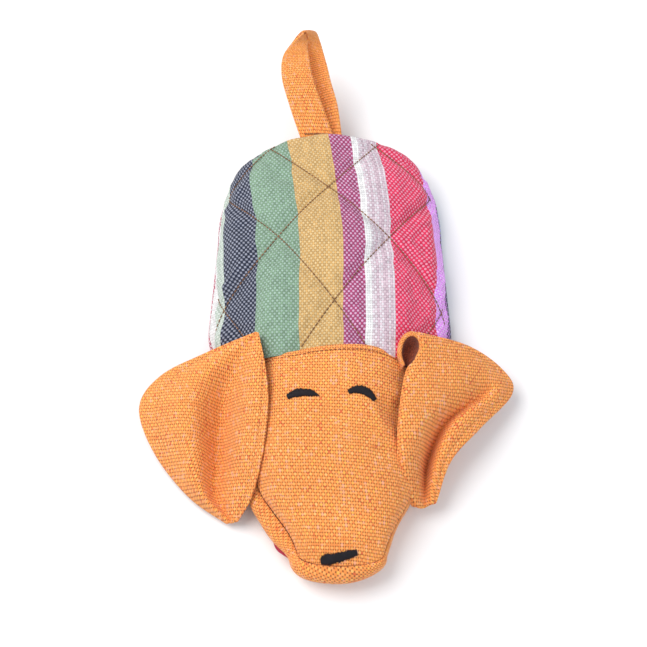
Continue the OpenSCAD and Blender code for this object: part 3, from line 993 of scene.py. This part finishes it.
class PUPPET_OT_quilting(bpy.types.Operator):
    """Sews the diamond quilting over the back"""

    bl_idname = "puppet.quilting"
    bl_label = "Quilting"

    def execute(self, context):
        sizes, kept = settings(context)
        work = bmesh.new()
        step = sizes.stitch_length / math.hypot(QUILT_ACROSS, QUILT_ALONG)
        for direction in (1, -1):
            for line in range(-6, 8, 2):
                for stitch in range(-STITCH_REACH, STITCH_REACH):
                    self.sew(work, direction, line, stitch * step, step)
        thread = finish_strands("quilting_stitches", work, kept["tan_strand"])
        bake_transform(thread)
        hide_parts("quilting_thread")
        return {"FINISHED"}

    def sew(self, work, direction, line, start, step):
        """Adds one stitch where its line lies on the back."""
        ends = [self.on_back(direction, line, start + share * step) for share in (0.03, 0.97)]
        if None not in ends and (ends[1] - ends[0]).length > 0.8:
            up = Vector((ends[0].x * 0.012, 0, 1))
            strand(work, ends[0], ends[1], up, 0.34, 0.1, sides=5, rings=4)

    def on_back(self, direction, line, place):
        """Point on the sunken quilting line, or None beyond the cloth."""
        flat_x = QUILT_X + place * QUILT_ACROSS
        y = quilt_place(direction * (line - place))
        share = (y - (NECK_Y - 4)) / (REAR_Y - (NECK_Y - 4))
        if not 0.02 < share < 0.97:
            return None
        half = body_half(y) - BACK_EDGE_IN
        low, high = -half, half
        for _ in range(16):
            x = (low + high) / 2
            if back_flat(Vector((x, y, 0))).x < flat_x:
                low = x
            else:
                high = x
        if abs(x) > half * 0.985:
            return None
        across = math.asin(clamp(signed_power(x / half, 1 / 0.96), -1, 1)) / (math.pi / 2)
        u = (across / (1 + SIDE_ROLL) + 1) / 2
        v = (share + FRONT_TURN) / (1 + FRONT_TURN + REAR_ROLL)
        return back_cover_at(u, v) + Vector((0, 0, 0.35))


class PUPPET_OT_head(bpy.types.Operator):
    """Makes the head's top panel and its lining"""

    bl_idname = "puppet.head"
    bl_label = "Head"

    def execute(self, context):
        sizes, kept = settings(context)
        cover = cloth_piece("head_cover", kept["orange_linen"], 84, 96,
                            lambda u, v: head_cover_at(u, 1 - v), lambda u, v: head_flat(u, 1 - v))
        swell(cover, lambda co: co.y > NECK_Y - 4 or near_embroidery(co), 0.9, 0.008, 0.9)
        thicken(cover, sizes.cloth_thickness)
        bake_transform(cover)
        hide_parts("head_panel", "head_wadding")
        lining = cloth_piece("head_lining_cloth", kept["lining_weave"], 30, 40,
                             lambda u, v: head_at(u, 0.98 - 0.98 * v, 5.5), plain_flat(100, 100))
        thicken(lining, 0.7)
        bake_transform(lining)
        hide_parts("head_lining")
        return {"FINISHED"}


class PUPPET_OT_mouth(bpy.types.Operator):
    """Makes the padded lip and the palate"""

    bl_idname = "puppet.mouth"
    bl_label = "Mouth"

    def execute(self, context):
        sizes, kept = settings(context)
        lip = cloth_piece("lip_roll", kept["orange_linen"], 150, 16,
                          lip_at, plain_flat(300, 22, 0.6), under=True)
        thicken(lip, sizes.cloth_thickness)
        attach(lip, "head")
        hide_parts("lip_band")
        palate = cloth_piece("palate_cloth", kept["mouth_weave"], 30, 50,
                             mouth_sheet(-3, 11.4, -1.0), plain_flat(85, 105), under=True)
        thicken(palate, 0.8)
        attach(palate, "head")
        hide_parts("palate")
        return {"FINISHED"}


class PUPPET_OT_jaw(bpy.types.Operator):
    """Makes the lower jaw, the floor of the mouth and the jaw's lining"""

    bl_idname = "puppet.jaw"
    bl_label = "Jaw"

    def execute(self, context):
        sizes, kept = settings(context)
        cover = cloth_piece("jaw_cover", kept["orange_linen"], 48, 60,
                            jaw_at, plain_flat(90, 110), under=False)
        thicken(cover, sizes.cloth_thickness)
        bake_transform(cover)
        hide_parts("jaw_panel", "jaw_wadding")
        floor = cloth_piece("mouth_floor_cloth", kept["mouth_weave"], 30, 50,
                            mouth_sheet(-3.4, 9.6, 1.0, 12.8), plain_flat(85, 105))
        thicken(floor, 0.8)
        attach(floor, "jaw")
        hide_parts("mouth_floor")
        lining = cloth_piece("jaw_lining_cloth", kept["lining_weave"], 20, 30,
                             mouth_sheet(-5, 5.4, 0.5), plain_flat(80, 100))
        thicken(lining, 0.6)
        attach(lining, "jaw")
        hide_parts("jaw_lining")
        return {"FINISHED"}


def on_head(x, y):
    """Point and upward direction on the head's top panel at a place in plan."""
    low, high = 0.0, 1.0
    for _ in range(24):
        v = (low + high) / 2
        row = spline(HEAD_ROWS, v)
        side = clamp((x - row[1]) / row[2], -0.98, 0.98)
        u = (math.asin(side) / (math.pi / 2) + 1) / 2
        place = head_cover_at(u, v)
        if place.y > y:
            low = v
        else:
            high = v
    step = 0.01
    up = (head_cover_at(u + step, v) - head_cover_at(u - step, v)).cross(
        head_cover_at(u, v - step) - head_cover_at(u, v + step))
    return place, up.normalized()


class PUPPET_OT_face(bpy.types.Operator):
    """Embroiders the closed eyes and the nose in satin stitch"""

    bl_idname = "puppet.face"
    bl_label = "Face"

    def execute(self, context):
        sizes, kept = settings(context)
        dice = random.Random(5)
        for name, line in FACE_LINES.items():
            work = bmesh.new()
            strands = sizes.nose_strands if name == "nose" else sizes.eye_strands
            self.satin(work, line, FACE_WIDTHS[name], strands, dice)
            piece = finish_strands(name + "_satin", work, kept["satin_strand"])
            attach(piece, "head")
            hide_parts(name)
        return {"FINISHED"}

    def satin(self, work, line, widths, strands, dice):
        """Strands side by side across a curved line, plump in the middle."""
        for i in range(strands):
            share = i / (strands - 1)
            middle = spline(line, share)
            ahead = spline(line, min(share + 0.02, 1)) - spline(line, max(share - 0.02, 0))
            side = Vector((-ahead.y, ahead.x)).normalized()
            half = spline(widths, share) / 2 * dice.uniform(0.86, 1.1)
            slant = ahead.normalized() * dice.uniform(-0.15, 0.15)
            ends = [on_head(*(middle + side * half * s + slant * s)) for s in (-1, 1)]
            lift = [place + up * 0.15 for place, up in ends]
            up = (ends[0][1] + ends[1][1]).normalized()
            strand(work, lift[0], lift[1], up, 0.48, 0.55 + dice.uniform(-0.1, 0.1), sides=6, rings=7)


class PUPPET_OT_neck_stitches(bpy.types.Operator):
    """Sews the head's neck edge down with a row of topstitching"""

    bl_idname = "puppet.neck_stitches"
    bl_label = "Neck stitches"

    def execute(self, context):
        _, kept = settings(context)
        work = bmesh.new()
        count = 44
        for i in range(count):
            ends = []
            for share in (0.08, 0.92):
                place = head_cover_at(mix(0.10, 0.90, (i + share) / count), 0.024)
                ends.append(place + Vector((0, 0, 0.25)))
            up = Vector((ends[0].x * 0.015, 0, 1))
            strand(work, ends[0], ends[1], up, 0.32, 0.1, sides=5, rings=4)
        piece = finish_strands("neck_topstitch", work, kept["brown_strand"])
        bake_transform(piece)
        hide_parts("neck_stitches")
        return {"FINISHED"}


class PUPPET_OT_ears(bpy.types.Operator):
    """Makes the two floppy ears, each of two layers sewn together"""

    bl_idname = "puppet.ears"
    bl_label = "Ears"

    def execute(self, context):
        sizes, kept = settings(context)
        for side, lines, turn, root in (("left", LEFT_LINES, 0.1, -1),
                                        ("right", RIGHT_LINES, -0.08, 1)):
            self.ear(side, lambda u, v: ear_at(lines, u, v), turn, root, sizes, kept)
        # the curl's inside gets the painted shade linen in place of the orange cloth, for the shade in its
        # hollow
        for name, start, end, material in (("right_ear_curl", 0, CURL_INSIDE, "orange_linen"),
                                           ("right_ear_hollow", CURL_INSIDE, 1, "painted_shade_linen")):
            curl = cloth_piece(name, kept[material], 40, 14,
                               lambda u, v: curl_at(u, mix(start, end, v)),
                               plain_flat(34, 14, 0.4), under=True)
            thicken(curl, 0.9)
            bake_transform(curl)
        return {"FINISHED"}

    def ear(self, side, place, turn, root, sizes, kept):
        """Two layers of cloth and their edge stitches; root says which way the ear points."""
        body = side + "_ear"
        start, end = ear_root(root)
        left = root < 0
        extra = {}
        cos, sin = math.cos(turn), math.sin(turn)

        def flat(u, v):
            if v not in extra:
                extra[v] = slope_lengths(place, v)
            point = place(u, v)
            x, y = point.x + root * extra[v][round(u * EAR_STEPS)], point.y
            return Vector((x * cos - y * sin, x * sin + y * cos))
        for layer, drop in (("front", 0.0), ("back", 1.5)):
            piece = cloth_piece(f"{body}_{layer}_cloth", kept["orange_linen"],
                                EAR_STEPS, 72,
                                lambda u, v: place(u, v) - Vector((0, 0, drop)), flat,
                                under=left == (layer == "front"))
            thicken(piece, sizes.cloth_thickness, 0.0)
            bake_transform(piece)
            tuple(start)
            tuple(end)
            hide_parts(f"{body}_{layer}")
        work = bmesh.new()
        self.hem(work, place)
        stitches = finish_strands(body + "_topstitch", work, kept["brown_strand"])
        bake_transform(stitches)
        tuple(start)
        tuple(end)
        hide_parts(body + "_stitches")

    def hem(self, work, place):
        """A row of stitches just inside each of the ear's long edges."""
        count = 50
        for edge in (HEM_IN, 1 - HEM_IN):
            for i in range(count):
                start, end = (place(edge, mix(0.06, 0.94, (i + share) / count)) + Vector((0, 0, 0.7))
                              for share in (0.15, 0.85))
                strand(work, start, end, (0, 0, 1), 0.2, 0.05, sides=5, rings=3)


class PUPPET_OT_tail(bpy.types.Operator):
    """Makes the strap loop of the tail and the bar tack that closes it"""

    bl_idname = "puppet.tail"
    bl_label = "Tail loop"

    def execute(self, context):
        _, kept = settings(context)
        work = bmesh.new()
        cloth_grid(work, 12, 110, loop_at, plain_flat(STRAP_W * STRAP_WEAVE, STRAP_L * STRAP_WEAVE))
        loop = make_piece("tail_strap", work, kept["orange_linen"])
        thicken(loop, 2.2, 0.0)
        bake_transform(loop)
        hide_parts("tail_loop")
        work = bmesh.new()
        for i in range(TACK_STITCHES):
            place = loop_at(0.18 + 0.64 * i / (TACK_STITCHES - 1), 0.016)
            ends = [place + Vector((0.2 * end, 0.8 * end, 1.2)) for end in (-1, 1)]
            strand(work, ends[0], ends[1], (0, 0, 1), 0.3, 0.1)
        tack = finish_strands("tail_bar_tack", work, kept["tan_strand"])
        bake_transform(tack)
        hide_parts("tail_tack")
        return {"FINISHED"}


CAMERA_UP = math.radians(70)
CAMERA_TARGET = Vector((-3.5, -45.4, 20))
CAMERA_AWAY = 0.85  # metres from the target


class PUPPET_OT_stage(bpy.types.Operator):
    """Makes the pale floor, the soft studio light and the camera"""

    bl_idname = "puppet.stage"
    bl_label = "Stage"

    def execute(self, context):
        scene = context.scene
        make_floor()
        world = bpy.data.worlds.new("studio")
        scene.world = world
        world.use_nodes = True
        sky = world.node_tree.nodes["Background"]
        sky.inputs["Color"].default_value = (0.94, 0.96, 1.0, 1)
        sky.inputs["Strength"].default_value = 0.60
        add_light(scene, "key_light", (-0.62, 0.20, 1.02), 13.0, (1.0, 0.97, 0.955))
        add_light(scene, "fill_light", (0.75, -0.6, 0.9), 4.0, (0.90, 0.95, 1.0))
        camera = bpy.data.cameras.new("camera")
        camera.lens = 87.6
        camera.sensor_width = 36
        camera.clip_start = 0.05
        viewer = bpy.data.objects.new("camera", camera)
        scene.collection.objects.link(viewer)
        back = Vector((0, -math.cos(CAMERA_UP), math.sin(CAMERA_UP)))
        viewer.location = CAMERA_TARGET * MM + back * CAMERA_AWAY
        viewer.rotation_euler = (math.radians(90) - CAMERA_UP, 0, 0)
        scene.camera = viewer
        scene.view_settings.view_transform = "Standard"
        scene.view_settings.look = "None"
        return {"FINISHED"}


def make_floor():
    """A wide pale floor with a faint change of tone."""
    shader = Shader("pale_floor", 0.9, 0.0, 0.2)
    place = shader.node("ShaderNodeTexCoord", output=3)
    tone = shader.noise(place, 3.0, 2.0)
    colour = shader.blend(tone, (0.90, 0.90, 0.905, 1), (0.92, 0.92, 0.92, 1))
    material = shader.finish(colour, shader.bump(shader.noise(place, 700.0), 0.05, 0.0002))
    work = bmesh.new()
    bmesh.ops.create_grid(work, x_segments=1, y_segments=1, size=3000)
    return make_object("floor", work, material)


def add_light(scene, name, place, power, colour):
    """A round soft light that looks at the middle of the puppet."""
    light = bpy.data.lights.new(name, "AREA")
    light.shape = "DISK"
    light.size = 1.0
    light.energy = power
    light.color = colour
    lamp = bpy.data.objects.new(name, light)
    lamp.location = place
    lamp.rotation_euler = (Vector((0, -0.04, 0)) - lamp.location).to_track_quat("-Z", "Y").to_euler()
    scene.collection.objects.link(lamp)


class VIEW3D_PT_puppet(bpy.types.Panel):
    """Lists the puppet's settings and the steps that make it"""

    bl_label = "Quilted Hand Puppet"
    bl_space_type = "VIEW_3D"
    bl_region_type = "UI"
    bl_category = "Puppet"

    def draw(self, context):
        for group in (context.scene.puppet_sizes, context.scene.puppet_colours):
            for name in group.__annotations__:
                self.layout.prop(group, name)
        for step in STEPS:
            self.layout.operator(step.bl_idname)


STEPS = (
    PUPPET_OT_back,
    PUPPET_OT_belly,
    PUPPET_OT_quilting,
    PUPPET_OT_head,
    PUPPET_OT_mouth,
    PUPPET_OT_jaw,
    PUPPET_OT_face,
    PUPPET_OT_neck_stitches,
    PUPPET_OT_ears,
    PUPPET_OT_tail,
    PUPPET_OT_stage,
)
CLASSES = (PuppetSizes, PuppetColours, *STEPS, VIEW3D_PT_puppet)


def register():
    for item in CLASSES:
        bpy.utils.register_class(item)
    bpy.types.Scene.puppet_sizes = PointerProperty(type=PuppetSizes)
    bpy.types.Scene.puppet_colours = PointerProperty(type=PuppetColours)


def unregister():
    del bpy.types.Scene.puppet_colours
    del bpy.types.Scene.puppet_sizes
    for item in reversed(CLASSES):
        bpy.utils.unregister_class(item)


def main():
    register()
    for step in STEPS:
        group, name = step.bl_idname.split(".")
        getattr(getattr(bpy.ops, group), name)()


if __name__ == "__main__":
    main()
